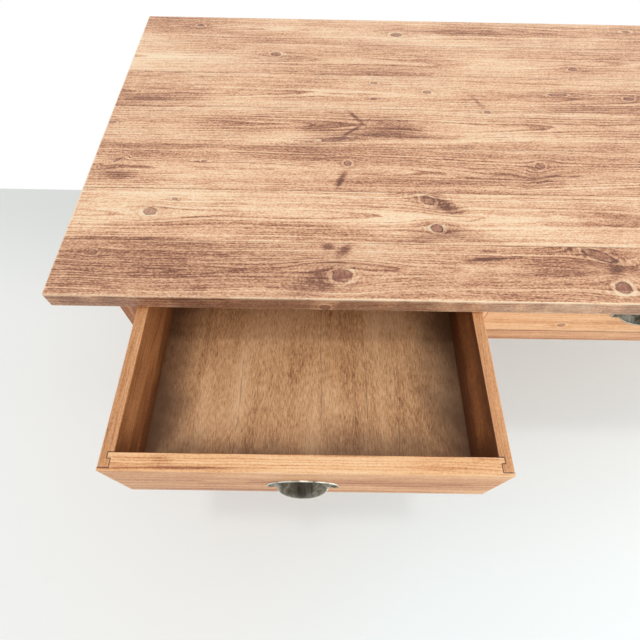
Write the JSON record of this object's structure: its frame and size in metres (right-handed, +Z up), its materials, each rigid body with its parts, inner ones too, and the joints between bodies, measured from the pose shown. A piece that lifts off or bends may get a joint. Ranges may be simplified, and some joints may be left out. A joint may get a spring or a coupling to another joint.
{
  "type": "farmhouse table",
  "caption": "Rectangular plank-topped wooden farmhouse table on square tapered legs, with three drawers side by side in the front apron, one pulled open, and metal cup pulls.",
  "frame": {"origin": "on the floor, straight below the middle of the tabletop", "axes": "+X along the table to the right seen from the drawers' side, +Y to the back, +Z up"},
  "size_m": [2.092, 1.1297, 0.78],
  "materials": {
    "stained_top_pine": "stained knotty pine under a dull wax",
    "frame_pine": "waxed pine",
    "drawer_pine": "waxed orange pine",
    "inner_pine": "plain planed pine",
    "peg_oak": "plain oak",
    "plywood": "stained thin plywood",
    "antique_pewter": "dark patina with rubbed edges",
    "screw_steel": "dull steel"
  },
  "bodies": {
    "table": {"back_apron": "frame_pine", "bearer_left": "inner_pine", "bearer_right": "inner_pine", "drawer_stops": "inner_pine", "front_rail": "frame_pine", "guide_inner_left": "inner_pine", "guide_inner_right": "inner_pine", "guide_left": "inner_pine", "guide_right": "inner_pine", "joint_pegs": "peg_oak", "leg_back_left": "frame_pine", "leg_back_right": "frame_pine", "leg_front_left": "frame_pine", "leg_front_right": "frame_pine", "runner_inner_left": "inner_pine", "runner_inner_right": "inner_pine", "runner_left": "inner_pine", "runner_right": "inner_pine", "side_apron_left": "frame_pine", "side_apron_right": "frame_pine", "stile_left": "frame_pine", "stile_right": "frame_pine", "top_board_1": "stained_top_pine", "top_board_2": "stained_top_pine", "top_board_3": "stained_top_pine", "top_board_4": "stained_top_pine", "top_board_5": "stained_top_pine", "top_board_6": "stained_top_pine", "top_board_7": "stained_top_pine", "top_button_screws": "screw_steel", "top_buttons": "inner_pine"},
    "left_drawer": {"left_cup_pull": "antique_pewter", "left_drawer_back": "inner_pine", "left_drawer_bottom": "plywood", "left_drawer_front": "drawer_pine", "left_drawer_left_side": "drawer_pine", "left_drawer_right_side": "drawer_pine", "left_pull_screws": "screw_steel"},
    "middle_drawer": {"middle_cup_pull": "antique_pewter", "middle_drawer_back": "inner_pine", "middle_drawer_bottom": "plywood", "middle_drawer_front": "drawer_pine", "middle_drawer_left_side": "drawer_pine", "middle_drawer_right_side": "drawer_pine", "middle_pull_screws": "screw_steel"},
    "right_drawer": {"right_cup_pull": "antique_pewter", "right_drawer_back": "inner_pine", "right_drawer_bottom": "plywood", "right_drawer_front": "drawer_pine", "right_drawer_left_side": "drawer_pine", "right_drawer_right_side": "drawer_pine", "right_pull_screws": "screw_steel"}
  },
  "joints": [
    {"name": "left_drawer_slide", "type": "slide", "parent": "table", "child": "left_drawer", "axis": [0, -1, 0], "range_m": [-0.312, 0.108]},
    {"name": "middle_drawer_slide", "type": "slide", "parent": "table", "child": "middle_drawer", "axis": [0, -1, 0], "range_m": [0, 0.42]},
    {"name": "right_drawer_slide", "type": "slide", "parent": "table", "child": "right_drawer", "axis": [0, -1, 0], "range_m": [0, 0.42]}
  ]
}
